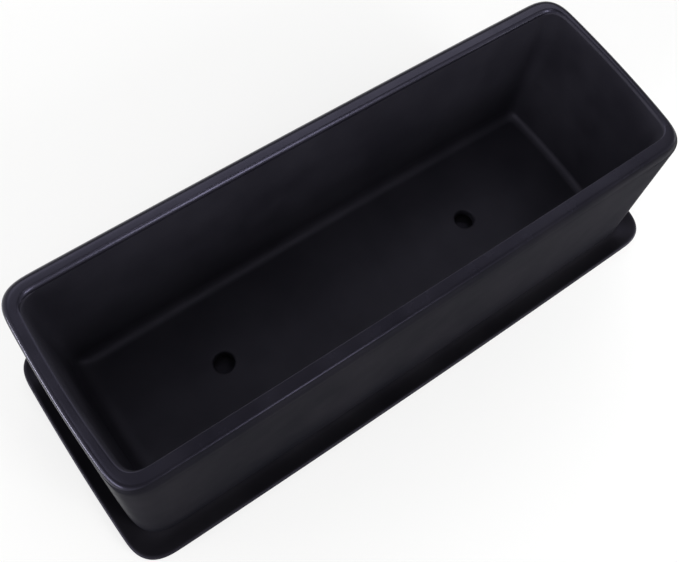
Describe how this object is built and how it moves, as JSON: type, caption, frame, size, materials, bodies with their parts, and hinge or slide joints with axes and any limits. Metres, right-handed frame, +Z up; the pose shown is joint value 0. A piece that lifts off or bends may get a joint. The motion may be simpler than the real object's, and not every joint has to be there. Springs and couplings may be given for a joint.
{
  "type": "rectangular ceramic planter",
  "caption": "Long rectangular glazed ceramic planter with soft corners and drain holes, standing loose on a matching shallow saucer.",
  "frame": {"origin": "middle of the saucer's footprint, on the surface that the saucer stands on", "axes": "+X along the length, +Y across the width towards the back, +Z up"},
  "size_m": [0.309, 0.121, 0.0934],
  "materials": {
    "pot_glaze": "satin black glaze with a faint violet cast, glossier on the rim",
    "saucer_glaze": "satin black glaze, as on the pot"
  },
  "bodies": {
    "saucer": {"saucer": "saucer_glaze"},
    "pot": {"planter_pot": "pot_glaze"}
  },
  "joints": [
    {"name": "pot_lift", "type": "slide", "parent": "saucer", "child": "pot", "axis": [0, 0, 1], "range_m": [0, 0.1]}
  ]
}
